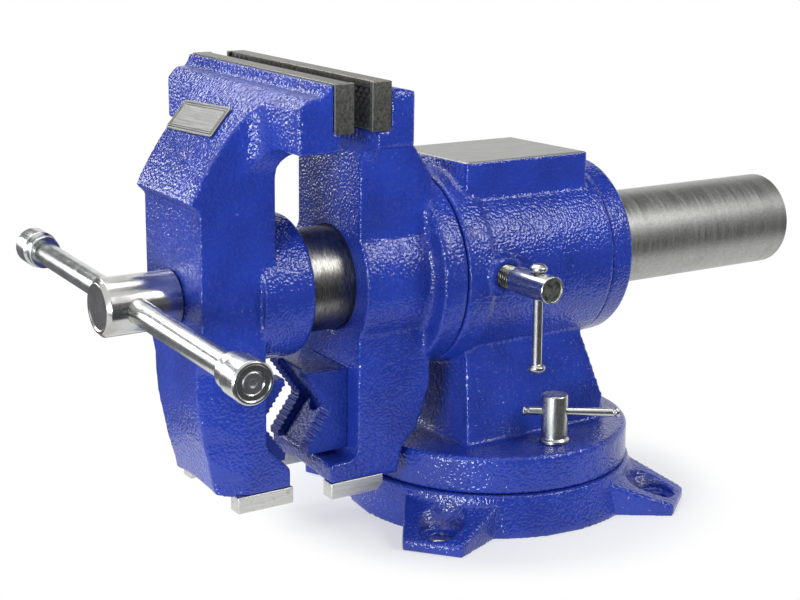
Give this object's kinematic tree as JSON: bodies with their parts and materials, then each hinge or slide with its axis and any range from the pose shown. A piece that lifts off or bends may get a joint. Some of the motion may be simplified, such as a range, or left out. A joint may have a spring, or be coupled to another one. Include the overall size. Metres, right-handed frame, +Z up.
{
  "type": "bench vise",
  "caption": "Multipurpose swivel bench vise with a rotating jaw head, serrated flat jaws, pipe jaws, an anvil, a slide tube with a sliding-bar spindle, and a lugged swivel base.",
  "frame": {"origin": "on the swivel axis at the bench face of the base, at the centre of the four bench bolt holes", "axes": "+Z up along the swivel axis; +X along the slide tube towards its open tail, away from the spindle head; +Y across the jaws, with the head lock screw on the -Y side"},
  "size_m": [0.3649, 0.2214, 0.2077],
  "materials": {
    "blue_enamel": "thick gloss blue enamel over sand-cast iron, orange-peel surface",
    "jaw_steel": "hardened and blackened tool steel, ground top edges, serrated gripping face",
    "ground_steel": "turned and ground bright steel with fine lines round the tube",
    "bright_steel": "bright ground and satin steel",
    "plated_steel": "bright nickel-chrome plated steel",
    "dark_fasteners": "blackened steel screws and shoes",
    "lock_brass": "soft brass pad"
  },
  "bodies": {
    "base": {"base_plate": "blue_enamel"},
    "swivel": {"swivel_body": "blue_enamel", "centre_bolt": "dark_fasteners", "centre_washer": "bright_steel", "base_lock_shoes": "dark_fasteners", "head_lock_pad": "lock_brass"},
    "base_lock_a": {"base_lock_screw_a": "plated_steel"},
    "base_lock_bar_a": {"base_lock_bar_a": "plated_steel"},
    "base_lock_b": {"base_lock_screw_b": "plated_steel"},
    "base_lock_bar_b": {"base_lock_bar_b": "plated_steel"},
    "head_lock": {"head_lock_screw": "plated_steel"},
    "head_lock_bar": {"head_lock_bar": "plated_steel"},
    "head": {"fixed_jaw": "blue_enamel", "retaining_ring": "blue_enamel", "ring_grub_screws": "dark_fasteners", "spindle_nut": "dark_fasteners", "nut_screw": "dark_fasteners", "fixed_jaw_plate": "jaw_steel", "fixed_plate_screws": "dark_fasteners", "fixed_pipe_jaw": "blue_enamel", "fixed_pipe_jaw_screw": "dark_fasteners", "fixed_leg_blocks": "bright_steel", "fixed_leg_screws": "dark_fasteners"},
    "front_jaw": {"front_jaw": "blue_enamel", "slide_tube": "ground_steel", "tube_pin": "bright_steel", "front_jaw_plate": "jaw_steel", "front_plate_screws": "dark_fasteners", "front_pipe_jaw": "blue_enamel", "front_pipe_jaw_screw": "dark_fasteners", "front_leg_blocks": "bright_steel", "front_leg_screws": "dark_fasteners", "nameplate": "bright_steel"},
    "spindle": {"spindle": "plated_steel", "spindle_collar": "dark_fasteners", "collar_pin": "bright_steel"},
    "handle": {"handle_bar": "plated_steel", "handle_knob_near": "plated_steel", "handle_knob_far": "plated_steel"}
  },
  "joints": [
    {"name": "base_swivel", "type": "hinge", "parent": "base", "child": "swivel", "pos_m": [0, 0, 0], "axis": [0, 0, 1], "continuous": true},
    {"name": "head_turn", "type": "hinge", "parent": "swivel", "child": "head", "pos_m": [0, 0, 0.1136], "axis": [1, 0, 0], "continuous": true},
    {"name": "jaw_slide", "type": "slide", "parent": "head", "child": "front_jaw", "axis": [-1, 0, 0], "range_m": [-0.008, 0.117]},
    {"name": "spindle_turn", "type": "hinge", "parent": "front_jaw", "child": "spindle", "pos_m": [-0.1818, 0, 0.1136], "axis": [-1, 0, 0], "range_deg": [-570, 8400]},
    {"name": "handle_slide", "type": "slide", "parent": "spindle", "child": "handle", "axis": [0, 0.9989, 0.0471], "range_m": [-0.081, 0.081]},
    {"name": "head_lock_turn", "type": "hinge", "parent": "swivel", "child": "head_lock", "pos_m": [-0.026, -0.0686, 0.115], "axis": [0, -1, 0], "range_deg": [-50, 130]},
    {"name": "head_lock_bar_slide", "type": "slide", "parent": "head_lock", "child": "head_lock_bar", "axis": [0, 0, 1], "range_m": [0, 0.028]},
    {"name": "base_lock_turn_a", "type": "hinge", "parent": "swivel", "child": "base_lock_a", "pos_m": [0, -0.049, 0.05], "axis": [0, 0, 1], "range_deg": [-140, 50]},
    {"name": "base_lock_bar_slide_a", "type": "slide", "parent": "base_lock_a", "child": "base_lock_bar_a", "axis": [0.809, -0.5878, 0], "range_m": [0, 0.0045]},
    {"name": "base_lock_turn_b", "type": "hinge", "parent": "swivel", "child": "base_lock_b", "pos_m": [0, 0.049, 0.05], "axis": [0, 0, 1], "range_deg": [-140, 50]},
    {"name": "base_lock_bar_slide_b", "type": "slide", "parent": "base_lock_b", "child": "base_lock_bar_b", "axis": [-0.809, 0.5878, 0], "range_m": [0, 0.0045]}
  ],
  "couplings": [
    {"joint": "jaw_slide", "follows": "spindle_turn", "m_per_rad": 0.00079577}
  ]
}
